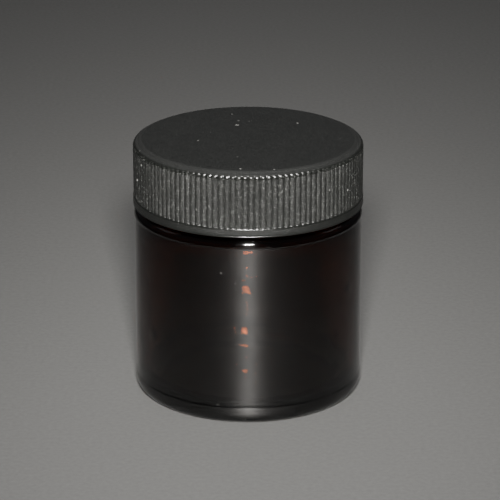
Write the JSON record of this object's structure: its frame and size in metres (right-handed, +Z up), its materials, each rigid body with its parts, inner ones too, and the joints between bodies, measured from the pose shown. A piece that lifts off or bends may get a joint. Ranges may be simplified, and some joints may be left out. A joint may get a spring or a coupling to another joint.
{
  "type": "cosmetic cream jar",
  "caption": "Straight-sided dark amber glass cream jar with a finely ribbed black plastic screw cap and a lined, sealing lid.",
  "frame": {"origin": "centre of the jar's base, on the surface it stands on", "axes": "+Z up along the axis of the jar and cap; the object is round, so +X and +Y are any two directions square to it"},
  "size_m": [0.05, 0.05, 0.057],
  "materials": {
    "amber_glass": "dark amber container glass, smooth, fire-polished shoulder and rim",
    "black_plastic": "black moulded plastic with a fine matt grain",
    "pulp_board": "pressed pulp board",
    "white_film": "smooth white polyethylene facing"
  },
  "bodies": {
    "jar": {"jar_body": "amber_glass"},
    "liner": {"liner_board": "pulp_board", "liner_facing": "white_film"},
    "cap": {"cap_shell": "black_plastic"}
  },
  "joints": [
    {"name": "cap_lift", "type": "slide", "parent": "jar", "child": "liner", "axis": [0, 0, 1], "range_m": [0, 0.02539]},
    {"name": "cap_turn", "type": "hinge", "parent": "liner", "child": "cap", "pos_m": [0, 0, 0.0495], "axis": [0, 0, 1], "range_deg": [0, 2160]}
  ],
  "couplings": [
    {"joint": "cap_lift", "follows": "cap_turn", "m_per_rad": 0.00067323}
  ]
}
